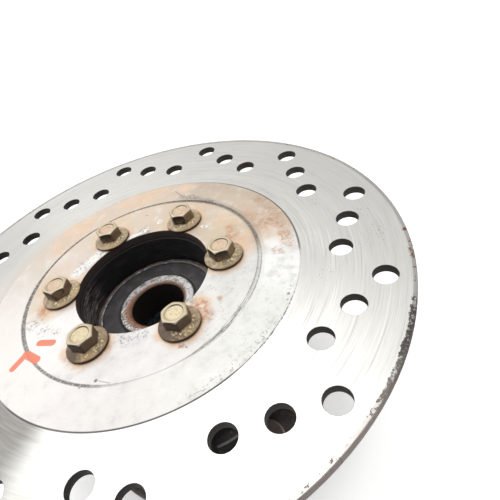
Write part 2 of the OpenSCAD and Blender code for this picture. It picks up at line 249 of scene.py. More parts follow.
disc = {
    "boreEdge": 27.0, "lineRadius": 42.5, "landRadius": 55.5, "lipRadius": 88.8, "rimRadius": 90.0,
    "lineShift": (0.35, -0.35, 0.0),  # the turned line runs a little out of true
    "track": srgb(227, 226, 221), "trackDark": srgb(190, 189, 185), "trackLight": srgb(236, 236, 232),
    "trackWarm": srgb(226, 214, 202), "scratch": srgb(120, 117, 113),
    "land": srgb(254, 253, 250), "silver": srgb(168, 168, 170), "scraped": srgb(150, 147, 146),
    "dull": srgb(176, 160, 144), "apricot": srgb(247, 212, 184), "peach": srgb(240, 206, 172),
    "pink": srgb(224, 182, 154), "brown": srgb(186, 138, 106), "orange": srgb(208, 158, 112),
    "rust": srgb(206, 138, 94), "redScab": srgb(120, 62, 50), "dirt": srgb(88, 83, 77),
    "black": srgb(60, 56, 54), "wall": srgb(50, 46, 43), "farWall": srgb(78, 72, 66),
    "boreWall": srgb(70, 58, 52), "pen": srgb(255, 150, 122),

    # sides of the disc: direction, half width and soft edge, in degrees
    "scoredSide": (-36, 26, 12), "shinySide": (-24, 22, 12), "warmSide": (150, 26, 14),
    "outwardSide": (110, 16, 10), "dimSide": (-27, 12, 9), "ringSide": (14, 26, 12),
    "nearLandSide": (15, 30, 20), "scratchedSide": (-138, 15, 5), "silverSide": (-70, 75, 25),
    "paleSide": (75, 80, 14), "whiteSide": (-17, 12, 5), "markedSide": (-38, 26, 12),
    "dullSide": (24, 34, 12), "porousSide": (-52, 10, 8), "porousInnerSide": (-170, 14, 10),
    "strandSide": (-50, 12, 8), "lineShadeSide": (28, 34, 12), "brokenSide": (-36, 24, 3),
    "softEdgeSide": (18, 30, 6), "smudgeSide": (-62, 16, 8), "lipSide": (-20, 60, 30),
    "blackScabSide": (-33, 12, 5), "glintSide": (-35, 8, 4), "farWallSide": (60, 60, 30),

    # the tan film by direction, between the turned line and the swept band
    "outerFilm": [
        (-180, srgb(246, 240, 235)), (-162, srgb(250, 245, 240)), (-135, srgb(248, 244, 240)),
        (-118, srgb(242, 237, 234)), (-100, srgb(237, 234, 230)), (-72, srgb(240, 239, 234)),
        (-45, srgb(238, 238, 232)), (-12, srgb(243, 243, 240)), (-4, srgb(238, 231, 220)),
        (3, srgb(224, 204, 184)), (16, srgb(214, 195, 175)), (32, srgb(214, 198, 178)),
        (60, srgb(208, 192, 173)), (74, srgb(222, 204, 185)), (100, srgb(224, 208, 191)),
        (122, srgb(230, 208, 188)), (136, srgb(224, 209, 193)), (151, srgb(225, 216, 204)),
        (166, srgb(236, 229, 222)), (180, srgb(246, 240, 235))],
    # and inside the turned line
    "innerFilm": [
        (-180, srgb(236, 226, 214)), (-168, srgb(253, 250, 247)), (-135, srgb(250, 247, 243)),
        (-105, srgb(238, 234, 232)), (-75, srgb(239, 237, 233)), (-45, srgb(236, 235, 229)),
        (-13, srgb(231, 230, 226)), (-2, srgb(218, 198, 176)), (15, srgb(219, 203, 180)),
        (35, srgb(220, 205, 184)), (50, srgb(226, 204, 180)), (62, srgb(222, 203, 182)),
        (90, srgb(228, 212, 193)), (115, srgb(226, 211, 190)), (138, srgb(232, 218, 206)),
        (165, srgb(227, 209, 188)), (180, srgb(236, 226, 214))],
    # how far the swept band is darkened, by direction: painted shade
    "trackShade": [
        (-180, 0.4), (-150, 0.1), (-56, 0.0), (-46, 0.4), (-28, 0.45), (-12, 0.42), (20, 0.32),
        (34, 0.35), (48, 0.1), (84, 0.05), (104, 0.2), (122, 0.36), (136, 0.75), (150, 1.0), (180, 0.4)],
    # dirt in the turned line: half its width in mm, how dark, and where it parts in two
    "lineHalf": [
        (-180, 0.8), (-158, 0.76), (-148, 0.52), (-112, 0.5), (-100, 0.3), (-73, 0.3), (-60, 0.9),
        (-42, 1.0), (-30, 0.9), (-8, 0.8), (5, 0.7), (62, 0.72), (90, 0.58), (122, 0.46), (152, 0.5),
        (163, 0.78), (180, 0.8)],
    "lineDark": [
        (-180, 0.82), (-158, 0.8), (-148, 0.85), (-114, 0.85), (-104, 0.3), (-92, 0.0), (-76, 0.0),
        (-70, 0.5), (-56, 0.75), (-38, 0.68), (-22, 0.6), (-6, 0.55), (2, 0.8), (12, 0.72), (42, 0.8),
        (62, 0.8), (80, 0.6), (106, 0.5), (122, 0.7), (150, 0.8), (161, 0.85), (180, 0.82)],
    "lineSplit": [(-180, 0.0), (-44, 0.0), (-36, 0.85), (-8, 0.85), (1, 0.0), (180, 0.0)],
    # how dark the step down to the swept band is: dirt with painted shade
    "edgeDark": [
        (-180, 0.15), (-143, 0.3), (-136, 0.8), (-66, 0.85), (-60, 0.4), (-52, 0.75), (-42, 0.65),
        (-31, 0.4), (-27, 0.08), (-13, 0.06), (-11, 0.6), (12, 0.55), (45, 0.5), (62, 0.35), (98, 0.2),
        (108, 0.05), (146, 0.08), (180, 0.15)],
    # the rim and the scabs of rust on its lip
    "rimTone": [
        (-180, srgb(150, 136, 130)), (-70, srgb(156, 142, 136)), (-53, srgb(166, 150, 145)),
        (-45, srgb(112, 98, 92)), (-36, srgb(60, 48, 46)), (-5, srgb(92, 76, 72)),
        (60, srgb(120, 108, 102)), (180, srgb(150, 136, 130))],
    "scabPlace": [
        (-180, 0.0), (-57, 0.0), (-54, 0.4), (-50, 0.45), (-43, 0.55), (-41, 0.86), (-35, 0.97),
        (-31, 0.6), (-28, 0.0), (-21, 0.1), (-19.5, 0.65), (-18, 0.65), (-16, 0.0), (10, 0.0), (180, 0.0)],
    "scabTone": [
        (-180, srgb(110, 100, 96)), (-55, srgb(148, 134, 126)), (-44, srgb(116, 108, 100)),
        (-40, srgb(62, 48, 46)), (-31, srgb(72, 56, 52)), (-19, srgb(126, 86, 70)),
        (-12, srgb(160, 112, 88)), (180, srgb(110, 100, 96))],

    # patches: x, y, size and soft edge, in mm
    "speckSpots": [(78, -16, 5, 3), (79, -4, 4, 3), (58, -26, 3, 2), (66, 10, 3, 2)],
    "peachSpots": [
        (-26, 43, 5, 4), (0, 49, 6, 5), (-34, 31, 4, 3), (-9, 37, 4, 4), (6, 53, 5, 3), (17, 33, 3, 4),
        (-36, 13, 3, 3), (32, 17, 4, 3), (22, 48, 4, 4), (37, -2, 3, 2), (38, 4, 3, 2), (36, 14, 3, 2)],
    "apricotSpots": [
        (-30, 44, 4, 1.2), (-8, 51, 3, 1), (-3, 53, 2.5, 1), (4, 48, 2.6, 1), (-36, 36, 2.4, 1),
        (20, 48, 2.6, 1.2), (-22, 47, 2, 1), (12, 52, 2, 1)],
    "pinkSpots": [
        (43, 14, 3.5, 3), (44.5, 4, 2.2, 2), (33, 8, 2.5, 3), (36, 3, 2, 2), (41, 24, 2.5, 2.5),
        (14, 35, 1.5, 1.5)],
    "brownSpots": [
        (50.5, 8, 3.6, 2.5), (51.5, 4, 2.8, 2), (48, 22, 2.8, 2.5), (52, -3.5, 2.8, 1.2),
        (52, -9.5, 1.6, 1.6), (50, 15, 2.4, 2), (44, 14, 2, 2), (46, 8, 1.6, 2), (48, -10, 1.6, 1.2)],
    "orangeSpots": [
        (51.5, -2, 2.4, 1.2), (52.5, -8, 1.5, 1.5), (51, -6, 1.6, 1.2), (51, 9, 2, 1.5), (46, 5, 1.4, 1)],
    "rustSpots": [
        (34, 7, 2.2, 1.6), (34.5, 11, 1.8, 1.4), (33.5, 4.5, 1.5, 1.2), (18, -22.5, 3, 1.5),
        (19.5, -27, 2.8, 1.5), (25, -22, 1, 1), (15, -30, 2, 1.5), (11, -35.5, 0.8, 0.4),
        (-35, 10, 2, 2.5), (-36, -1, 2, 2), (-24, -27, 1.2, 2), (-12, -27, 1.6, 1.5)],
    "soakSpots": [
        (17.5, -22.5, 4.5, 2), (-33, 8, 5, 3), (-35, -2, 4, 3), (-22, -26, 3, 2), (-12, -26.5, 2, 1.5)],
    "underBolt": (8.4, 1.9), "roundFlange": (6.95, 0.6),
    "scrapedSpots": [
        (-25, 14.5, 2.2, 1.6), (-22, 17.5, 3.2, 2.2), (-17, 20.5, 2.2, 1.5), (1.5, 26, 3.2, 1.6),
        (16.2, -18.4, 1.8, 0.8), (-6, -26, 3.2, 2), (-1, -27, 2.2, 1.5), (-38, -6, 2.8, 2.5),
        (-30, -13.5, 1.4, 1.5), (-34, -11, 2.0, 2)],
    "punchSpots": [(8, 29, 1.1, 0.3)], "punchCentres": [(8.2, 28.9, 0.4, 0.3), (25.1, 16.6, 0.4, 0.3)],
    "dents": [
        (-14.7, -37.8, 0.55, 0.2), (-19.6, -38.3, 0.3, 0.2), (3, 36.5, 0.3, 0.2), (12.5, -36.5, 0.3, 0.2),
        (45.4, -29.2, 0.45, 0.3), (44.5, -31.4, 0.25, 0.2), (46.9, -26.3, 0.2, 0.2)],
    "loneScabs": [(87.4, -18.6, 0.8, 0.25), (86.0, -24.4, 0.35, 0.2)],

    # lines: points, width and, where it isn't a sharp line, soft edge, in mm
    "shineLines": [
        ([(-25.6, 14.0), (-21, 17.6), (-16.2, 21.3)], 4.2, 1.0),
        ([(-6, 24.4), (-1, 25.6), (3.5, 26.8)], 1.7, 0.5)],
    "punchLines": [([(24.2, 17.2), (25.8, 16.2)], 1.3, 0.3)],
    "smearLines": [([(18.5, 42.4), (23, 39), (30.5, 31)], 2.3, 0.7)],
    "scratchLines": [
        ([(16.3, 47.4), (17.6, 44.6), (18.7, 42.0)], 0.4), ([(-10.5, -40.2), (-13.8, -38.2)], 0.3)],
    "penLines": [
        ([(-34.9, -15.8), (-30.4, -17.5)], 2.4), ([(-42.5, -23.0), (-38.9, -18.8)], 2.3),
        ([(-38.9, -18.8), (-35.0, -22.5)], 2.8)],
}


def trackFinish(g, d, n):  # the swept band, brushed in circles by the pads
    colour = g.coat(d["track"], d["trackDark"], g.ramp(n["streak"], 0.48, 0.74), 0.4)
    colour = g.coat(colour, d["trackLight"], g.ramp(n["broad"], 0.5, 0.72), 0.6)
    colour = g.coat(colour, d["trackLight"], g.ramp(n["fine"], 0.55, 0.7), 0.3)
    colour = g.coat(colour, d["trackDark"], g.fall(n["fine"], 0.34, 0.46), 0.3)
    scores = g.times(g.ramp(n["thin"], 0.6, 0.7), g.blend(0.05, 1.0, g.facing(*d["scoredSide"])))
    colour = g.coat(colour, d["scratch"], g.times(scores, g.ramp(g.radius, 58, 62)), 0.3)
    colour = g.coat(colour, d["land"], g.fall(n["thin"], 0.34, 0.42), g.facing(*d["shinySide"]), 0.55)
    warm = g.times(g.fall(g.radius, 57, 63), g.facing(*d["warmSide"]), g.blend(0.4, 1.0, n["cloud"]))
    colour = g.coat(colour, d["trackWarm"], warm, 0.8)
    # painted shade: the swept band is darkened by direction, more at its outer edge on the far side and at
    # its inner edge on the near right
    inner, outer = g.ramp(g.radius, 58, 66, 0.5, 1.0), g.ramp(g.radius, 66, 82, 0.2, 1.0)
    outward = g.blend(inner, outer, g.facing(*d["outwardSide"]))
    colour = g.coat(colour, d["trackDark"], g.around(g.turned(g.flat), d["trackShade"]), outward, 0.6)
    colour = g.coat(colour, d["trackDark"], g.fall(g.radius, 60, 67), g.facing(*d["dimSide"]), 0.42)
    ring = g.times(g.band(g.radius, 58.5, 58.7, 0.2), g.facing(*d["ringSide"]))
    colour = g.coat(colour, d["scratch"], ring, g.blend(0.5, 1.0, n["fine"]), 0.22)
    nearLand = g.times(g.band(g.radius, 56.0, 59.5, 0.9), g.blend(0.35, 1.0, g.ramp(n["streak"], 0.4, 0.6)))
    colour = g.coat(colour, d["trackDark"], nearLand, g.blend(0.05, 0.35, g.facing(*d["nearLandSide"])))
    colour = g.coat(colour, d["scratch"], g.facing(*d["scratchedSide"]), g.blend(0.5, 1.0, n["streak"]))
    specks = g.ramp(g.noise(g.flat, 0.7, 1.0, 0.5), 0.66, 0.72)
    return g.coat(colour, d["scratch"], specks, g.spots(g.flat, d["speckSpots"]), 0.8), scores


def landFinish(g, d, n):  # the unswept middle: pale metal, tan film, rust and knocks
    turn = g.turned(n["warped"])
    outside = g.ramp(g.radius, d["lineRadius"] - 0.6, d["lineRadius"] + 0.4)
    colour = g.mix(g.around(turn, d["innerFilm"]), g.around(turn, d["outerFilm"]), outside)
    colour = g.coat(colour, d["silver"], g.ramp(n["blotch"], 0.5, 0.72), g.facing(*d["silverSide"]), 0.22)
    colour = g.coat(colour, d["land"], g.fall(n["blotch"], 0.3, 0.5), 0.3)
    colour = g.coat(colour, d["dull"], g.ramp(n["grain"], 0.56, 0.72), 0.16)
    colour = g.coat(colour, d["land"], g.ramp(n["cloud"], 0.52, 0.75), g.facing(*d["paleSide"]), 0.25)
    white = g.times(g.ramp(g.radius, 43.5, 44.5), g.facing(*d["whiteSide"]))
    colour = g.coat(colour, d["land"], white, g.fall(n["blotch"], 0.45, 0.62), 0.75)
    marks = g.ramp(g.noise(n["jagged"], 2.0, 6.0, 0.78), 0.56, 0.61)
    colour = g.coat(colour, d["scraped"], marks, g.facing(*d["markedSide"]), 0.3)
    edge = g.times(g.ramp(g.radius, 48.5, 52.5), g.facing(*d["dullSide"]))
    colour = g.coat(colour, d["dull"], edge, g.blend(0.4, 1.0, n["blotch"]), 0.3)

    # the film's own patches
    colour = g.coat(colour, d["peach"], g.spots(n["warped"], d["peachSpots"]), 0.4)
    apricot = g.spots(n["jagged"], d["apricotSpots"])
    colour = g.coat(colour, d["apricot"], apricot, g.ramp(n["blotch"], 0.4, 0.56), 0.5)
    mottle = g.ramp(g.noise(n["warped"], 3.0, 5.0, 0.7), 0.44, 0.62)
    colour = g.coat(colour, d["pink"], mottle, g.spots(n["warped"], d["pinkSpots"]), 0.65)
    speckle = g.ramp(g.noise(n["warped"], 1.6, 6.0, 0.75), 0.4, 0.66)
    colour = g.coat(colour, d["brown"], speckle, g.spots(n["warped"], d["brownSpots"]), 0.92)
    colour = g.coat(colour, d["orange"], speckle, g.spots(n["jagged"], d["orangeSpots"]), 0.85)

    # rust, mostly round the flanges of the bolts
    rusty = g.ramp(g.noise(n["jagged"], 1.6, 6.0, 0.75), 0.38, 0.62)
    rust = g.times(g.spots(n["jagged"], d["rustSpots"]), rusty)
    wide = g.spots(n["jagged"], [(x, y, *d["underBolt"]) for x, y in boltCentres()])
    tight = g.spots(g.flat, [(x, y, *d["roundFlange"]) for x, y in boltCentres()])
    soak = g.most(wide, g.spots(n["jagged"], d["soakSpots"]))
    colour = g.coat(colour, d["peach"], soak, g.blend(0.5, 1.0, g.ramp(n["blotch"], 0.4, 0.6)))
    colour = g.coat(colour, d["rust"], rust, 0.85)
    colour = g.coat(colour, d["brown"], tight, 0.75)

    # knocks and scrapes down to bare metal
    scrapes = g.ramp(g.noise(n["jagged"], 1.3, 6.0, 0.8), 0.51, 0.57)
    scraped = g.times(scrapes, g.spots(n["jagged"], d["scrapedSpots"]))
    colour = g.coat(colour, d["silver"], scraped, 0.92)
    shine = g.times(g.strokes(n["jagged"], d["shineLines"]), g.fall(scraped, 0.3, 0.7))
    colour = g.coat(colour, d["land"], shine, g.ramp(n["grain"], 0.3, 0.4), 0.95)
    punches = g.most(g.spots(g.flat, d["punchSpots"]), g.strokes(g.flat, d["punchLines"]))
    colour = g.coat(colour, d["land"], punches, 0.85)
    colour = g.coat(colour, d["scraped"], g.spots(g.flat, d["punchCentres"]), 0.85)
    dents = g.spots(g.flat, d["dents"])
    colour = g.coat(colour, d["black"], dents, 0.7)
    pores = g.ramp(g.noise(g.flat, 0.6, 2.0, 0.5), 0.66, 0.74)
    poresInside = g.times(g.facing(*d["porousInnerSide"]), g.fall(g.radius, 40, 44))
    colour = g.coat(colour, d["silver"], pores, g.most(g.facing(*d["porousSide"]), poresInside), 0.7)
    smear = g.times(g.strokes(n["jagged"], d["smearLines"]), g.ramp(n["grain"], 0.43, 0.53))
    colour = g.coat(colour, d["scraped"], smear, 0.85)
    colour = g.coat(colour, d["dirt"], g.strokes(g.flat, d["scratchLines"]), 0.5)
    return colour, rust, g.most(scraped, dents)


def lineDirtAndShade(g, d, n, colour):  # dirt in the turned line with painted shade beside it, and dirt with painted shade along the edge of the swept band
    drift = g.vector("LENGTH", g.vector("ADD", g.flat, d["lineShift"]))
    off = g.math("SUBTRACT", drift, d["lineRadius"])
    away = g.math("ABSOLUTE", off)
    turn = g.turned(g.flat)
    past = g.math("SUBTRACT", away, g.around(turn, d["lineHalf"]))
    middle = g.times(g.fall(away, 0.25, 0.45), g.around(turn, d["lineSplit"]))
    strands = g.blend(1.0, g.ramp(n["fine"], 0.42, 0.56), g.facing(*d["strandSide"]))
    rubbed = g.blend(0.55, 1.0, g.ramp(n["grain"], 0.36, 0.56))
    dark = g.times(g.around(turn, d["lineDark"]), g.fall(past, -0.22, 0.12), rubbed, strands)
    colour = g.coat(colour, d["dirt"], dark, g.math("SUBTRACT", 1.0, middle))
    # painted shade on one side of the turned line
    shade = g.times(g.band(off, -1.2, 2.0, 0.6), g.facing(*d["lineShadeSide"]))
    colour = g.coat(colour, d["dirt"], shade, g.blend(0.4, 1.0, n["streak"]), 0.28)
    # dirt and painted shade: a dark line along the step down to the swept band, and a soft painted shade
    # just outside it
    step = g.band(g.radius, d["landRadius"] - 0.2, d["landRadius"] + 0.3, 0.15)
    broken = g.blend(1.0, g.ramp(n["grain"], 0.42, 0.55), g.facing(*d["brokenSide"]))
    colour = g.coat(colour, d["black"], step, broken, g.around(turn, d["edgeDark"]))
    soft = g.band(g.radius, d["landRadius"] - 0.2, d["landRadius"] + 0.4, 0.25)
    soft = g.times(soft, g.facing(*d["softEdgeSide"]), g.blend(0.7, 1.0, n["grain"]))
    smudge = g.band(g.radius, d["landRadius"] - 3, d["landRadius"] - 0.2, 0.8)
    spread = g.ramp(g.noise(n["jagged"], 1.2, 5.0, 0.7), 0.53, 0.6)
    smudge = g.times(smudge, g.facing(*d["smudgeSide"]), spread)
    return g.mix(colour, d["dirt"], g.most(g.times(soft, 0.75), g.times(smudge, 0.45)))


def lipScabs(g, d, n, colour, turn):  # the unswept lip at the edge, with its scabs of rust
    ragged = g.streaks(g.radius, 0.9, 60.0, 5.0, 0.75)
    lifted = g.plus(ragged, g.times(g.around(turn, d["scabPlace"]), 0.2))
    lifted = g.plus(lifted, g.ramp(g.radius, d["lipRadius"] - 1.6, d["lipRadius"] + 0.2, -0.5, 0.0))
    scabs = g.ramp(lifted, 0.58, 0.63)
    lip = g.ramp(g.radius, d["lipRadius"] - 0.15, d["lipRadius"] + 0.1)
    colour = g.coat(colour, g.around(turn, d["rimTone"]), lip, g.blend(0.12, 0.4, g.facing(*d["lipSide"])))
    blackened = g.times(g.ramp(n["grain"], 0.46, 0.6), g.facing(*d["blackScabSide"]))
    tone = g.coat(g.around(turn, d["scabTone"]), d["black"], blackened, 0.8)
    glints = g.times(g.ramp(g.noise(g.place, 0.9, 3.0, 0.6), 0.6, 0.66), g.facing(*d["glintSide"]))
    tone = g.coat(tone, d["land"], glints, 0.6)
    colour = g.coat(colour, tone, scabs, 0.92)
    return g.coat(colour, d["redScab"], g.spots(g.flat, d["loneScabs"]), 0.85), scabs


def discWalls(g, d, colour, turn):  # the walls of the rim, the holes and the bore
    steep = g.math("ABSOLUTE", g.up)
    rimWall = g.times(g.fall(steep, 0.5, 0.85), g.ramp(g.radius, d["rimRadius"] - 0.8, d["rimRadius"] - 0.5))
    holeWall = g.times(g.fall(steep, 0.75, 0.95), g.fall(g.radius, d["lipRadius"] - 0.4, d["lipRadius"]))
    deepWall = g.most(  # keeps clear of the two shallow steps in the top face
        g.ramp(g.radius, d["landRadius"] + 0.9, d["landRadius"] + 1.3),
        g.fall(g.radius, d["boreEdge"], d["boreEdge"] + 1), g.fall(g.z, discTop - 0.4, discTop - 0.3))
    holeWall = g.times(holeWall, deepWall)
    patchy = g.ramp(g.noise(g.place, 1.4, 5.0, 0.7), 0.42, 0.62)
    rimTone = g.coat(g.around(turn, d["rimTone"]), d["scratch"], patchy, 0.35)
    wallTone = g.mix(d["wall"], d["farWall"], g.facing(*d["farWallSide"]))
    wallTone = g.mix(d["boreWall"], wallTone, g.ramp(g.radius, d["boreEdge"] - 1, d["boreEdge"] + 3))
    colour = g.coat(colour, rimTone, rimWall, 0.95)
    colour = g.mix(colour, g.coat(wallTone, d["black"], patchy, 0.4), holeWall)
    return colour, (rimWall, holeWall)


def discMaterial():
    d = disc
    g = Finish("brakeDiscSteel")
    push = g.vector("SUBTRACT", g.noise(g.flat, 5.0, 4.0, colour=True), (0.5, 0.5, 0.5))
    n = {
        "fine": g.streaks(g.radius, 3.4, 9.0, 3.0, 0.7),
        "streak": g.streaks(g.radius, 1.2, 3.2, 3.0, 0.6),
        "broad": g.streaks(g.radius, 0.33, 1.6, 3.0, 0.6),
        "thin": g.streaks(g.radius, 2.3, 2.2, 2.0, 0.5),
        "cloud": g.noise(g.flat, 15.0, 3.0, 0.55),
        "blotch": g.noise(g.flat, 5.0, 5.0, 0.65),
        "grain": g.noise(g.flat, 1.1, 4.0, 0.7),
        "warped": g.vector("ADD", g.flat, g.vector("MULTIPLY", push, (12.0, 12.0, 0.0))),
        "jagged": g.vector("ADD", g.flat, g.vector("MULTIPLY", push, (4.0, 4.0, 0.0))),
    }
    turn = g.turned(g.flat)
    swept, scores = trackFinish(g, d, n)
    middle, rust, knocks = landFinish(g, d, n)
    land = g.fall(g.radius, d["landRadius"] - 0.12, d["landRadius"] + 0.12)
    colour = lineDirtAndShade(g, d, n, g.mix(swept, middle, land))
    pen = g.times(g.strokes(g.flat, d["penLines"]), g.ramp(g.up, 0.5, 0.9), g.blend(0.93, 1.0, n["grain"]))
    colour = g.mix(colour, d["pen"], pen)
    colour, scabs = lipScabs(g, d, n, colour, turn)
    colour, walls = discWalls(g, d, colour, turn)

    stained = g.most(rust, scabs, *walls, pen)
    roughness = g.blend(g.blend(0.26, 0.38, n["fine"]), g.blend(0.45, 0.62, n["blotch"]), land)
    roughness = g.blend(roughness, 0.8, stained)
    metallic = g.blend(g.blend(0.95, 0.3, land), 0.0, stained)
    height = g.plus(g.times(n["fine"], 0.5), g.times(scores, -0.5))
    landHeight = g.plus(g.times(n["grain"], 0.35), g.times(knocks, -0.8))
    height = g.plus(g.blend(height, landHeight, land), g.times(scabs, 2.0))
    return g.done(colour, roughness, metallic, g.bump(height, 0.03))


dress("brake_disc", discMaterial())
print("disc dressed")


hub = {
    "paint": srgb(34, 34, 36), "paintWorn": srgb(60, 58, 58), "bare": srgb(170, 166, 160),
    # the deep bore is dark, with a painted highlight along its turned lines
    "dust": srgb(112, 100, 93), "bore": srgb(24, 24, 30), "boreHighlight": srgb(235, 220, 208),
    "mouth": srgb(38, 33, 34),
    "seatHeight": 3.0, "bossTop": 11.5, "bossChamfer": 0.85, "bossStart": 31.0,
    "boreRadius": 23.5, "mouthRadius": 24.4, "mouthDepth": 0.9, "deepBoreStart": 25.0,
    "glintSide": (200, 34, 22),
}


def hubMaterial():
    h = hub
    g = Finish("hubCasting")
    cast = g.noise(g.place, 0.9, 4.0, 0.65)
    lumps = g.noise(g.place, 7.0, 4.0, 0.6)
    chips = g.ramp(g.noise(g.place, 2.6, 6.0, 0.75), 0.63, 0.66)
    inside = g.fall(g.radius, h["boreRadius"] + 0.3, h["boreRadius"] + 0.5)
    outside = g.math("SUBTRACT", 1.0, inside)
    colour = g.mix(h["paint"], h["paintWorn"], g.ramp(lumps, 0.45, 0.75))
    settled = g.times(g.ramp(g.up, 0.3, 0.9), g.ramp(lumps, 0.36, 0.66), outside)
    colour = g.coat(colour, h["dust"], settled, 0.45)

    # machined faces show bare metal
    bossEdge = h["bossTop"] - h["bossChamfer"]
    bossFace = g.band(g.z, bossEdge, h["bossTop"] + 0.2, 0.1)
    onBoss = g.ramp(g.radius, h["bossStart"], h["bossStart"] + 0.4)
    bossFace = g.times(bossFace, onBoss, g.ramp(g.up, 0.4, 0.6))
    under = g.fall(g.z, h["seatHeight"] + 0.1, h["seatHeight"] + 0.2)
    lowBore = g.times(inside, g.fall(g.z, h["deepBoreStart"] - 0.5, h["deepBoreStart"]))
    atMouth = (h["mouthRadius"], h["mouthRadius"] + 0.3)
    topFace = g.times(g.ramp(g.z, hubTop - 0.05, hubTop - 0.02), g.ramp(g.radius, *atMouth))
    bare = g.most(under, lowBore, topFace)
    colour = g.mix(colour, g.mix(h["bare"], h["dust"], g.ramp(lumps, 0.42, 0.7)), bare)
    bossRim = g.band(g.z, bossEdge, h["bossTop"] - 0.15, 0.08)
    colour = g.mix(colour, g.coat(h["dust"], h["bare"], bossRim, 0.6), bossFace)

    # the deep bore: dark, with painted highlights along its turned lines
    deepStart = g.ramp(g.z, h["deepBoreStart"], h["deepBoreStart"] + 1)
    mouthStart = (hubTop - h["mouthDepth"], hubTop - h["mouthDepth"] + 0.3)
    deep = g.times(inside, deepStart, g.fall(g.z, *mouthStart))
    colour = g.mix(colour, h["bore"], deep)
    colour = g.coat(colour, h["mouth"], g.ramp(g.z, *mouthStart), g.fall(g.radius, *atMouth))
    turned = g.streaks(g.z, 2.2, 3.0, 4.0, 0.8)
    glint = g.times(deep, g.ramp(turned, 0.5, 0.6), g.blend(0.04, 1.0, g.facing(*h["glintSide"])))
    colour = g.coat(colour, h["boreHighlight"], glint, 0.9)
    colour = g.coat(colour, h["bare"], chips, outside, 0.55)
    metallic = g.most(g.times(bare, 0.9), g.times(bossFace, 0.5), g.times(glint, 0.2))
    roughness = g.blend(g.blend(0.42, 0.6, lumps), 0.38, g.most(bare, deep))
    texture = g.blend(cast, turned, g.most(bare, inside))
    return g.done(colour, roughness, metallic, g.bump(texture, 0.06), 0.4)


dress("hub_body", hubMaterial())


bearing = {
    "race": srgb(150, 134, 126), "raceRust": srgb(84, 72, 68), "inner": srgb(244, 242, 240),
    "innerGrey": srgb(176, 172, 168), "pit": srgb(104, 78, 64), "rust": srgb(170, 116, 82),
    "deepRust": srgb(108, 68, 46), "rubber": srgb(72, 69, 71), "rubberDust": srgb(92, 89, 92),
    "dark": srgb(30, 28, 30), "cage": srgb(190, 180, 160), "ball": srgb(225, 226, 230),
    "plate": srgb(190, 190, 190), "spacer": srgb(112, 118, 128),
    "boreRadius": 10.0, "mouthRadius": 11.2, "sealInner": 15.0, "sealRadius": 21.1,
    "wornSide": (215, 66, 30), "glintSide": (135, 55, 20),
}


def outerRaceMaterial():
    b = bearing
    g = Finish("outerRaceSteel")
    stain = g.streaks(g.radius, 0.7, 7.0, 5.0, 0.7)
    colour = g.mix(b["race"], b["raceRust"], g.ramp(stain, 0.4, 0.62))
    # painted highlight: near-white glints along the lip of the race, next to the seal
    lip = g.fall(g.radius, b["sealRadius"] + 0.3, b["sealRadius"] + 0.9)
    broken = g.blend(0.15, 1.0, g.ramp(stain, 0.48, 0.56))
    colour = g.coat(colour, b["inner"], lip, broken, g.blend(0.4, 1.0, g.facing(*b["glintSide"])))
    return g.done(colour, g.blend(0.35, 0.6, stain), 0.2, g.bump(stain, 0.04))


def innerRaceMaterial():
    b = bearing
    g = Finish("innerRaceSteel")
    pits = g.ramp(g.noise(g.place, 0.7, 4.0, 0.65), 0.48, 0.58)
    stain = g.noise(g.place, 2.2, 5.0, 0.68)
    colour = g.mix(b["inner"], b["innerGrey"], g.ramp(stain, 0.42, 0.62))
    colour = g.coat(colour, b["pit"], g.ramp(stain, 0.57, 0.66), 0.45)
    worn = g.facing(*b["wornSide"])
    colour = g.coat(colour, b["pit"], pits, worn, 0.8)
    mouthEdge = g.plus(g.times(worn, 1.3), b["mouthRadius"] - 0.3)
    ragged = g.times(g.math("SUBTRACT", stain, 0.5), 7.0)
    mouth = g.fall(g.plus(g.math("SUBTRACT", g.radius, mouthEdge), ragged), -0.2, 0.4)
    rust = g.most(g.times(mouth, g.blend(0.7, 1.0, stain)), g.times(g.ramp(stain, 0.6, 0.7), 0.3))
    colour = g.mix(colour, b["rust"], rust)
    deeper = g.fall(g.radius, b["boreRadius"] + 0.4, b["mouthRadius"])
    colour = g.coat(colour, b["deepRust"], deeper, g.blend(0.6, 1.0, stain), 0.85)
    # painted shade: the bore wall of the inner race is painted near black
    wall = g.fall(g.radius, b["boreRadius"] + 0.05, b["boreRadius"] + 0.25)
    colour = g.coat(colour, b["dark"], wall, 0.95)
    dull = g.most(rust, wall)
    normal = g.bump(g.math("SUBTRACT", stain, pits), 0.05)
    return g.done(colour, g.blend(0.36, 0.75, dull), g.blend(0.5, 0.0, dull), normal, 0.35)


def rubberMaterial():
    b = bearing
    g = Finish("sealRubber")
    dust = g.noise(g.place, 3.6, 4.0, 0.6)
    colour = g.mix(b["rubber"], b["rubberDust"], g.ramp(dust, 0.42, 0.72))
    # painted shade: the seal is darkened at its inner and outer edges, in the gaps next to the races
    innerRim = g.fall(g.radius, b["sealInner"] - 0.3, b["sealInner"] + 0.3)
    outerRim = g.ramp(g.radius, b["sealRadius"] - 0.4, b["sealRadius"] - 0.1)
    colour = g.coat(colour, b["dark"], g.most(innerRim, outerRim), 0.85)
    ring = g.streaks(g.radius, 1.8, 0.8, 2.0, 0.5)
    return g.done(colour, 0.6, 0.0, g.bump(ring, 0.04), 0.35)


def plainSteel(name, colour, dark, roughness, metallic=1.0):
    g = Finish(name)
    stain = g.noise(g.place, 1.8, 4.0, 0.6)
    tone = g.mix(colour, dark, g.ramp(stain, 0.45, 0.75))
    return g.done(tone, g.blend(roughness, roughness + 0.2, stain), metallic, g.bump(stain, 0.01))


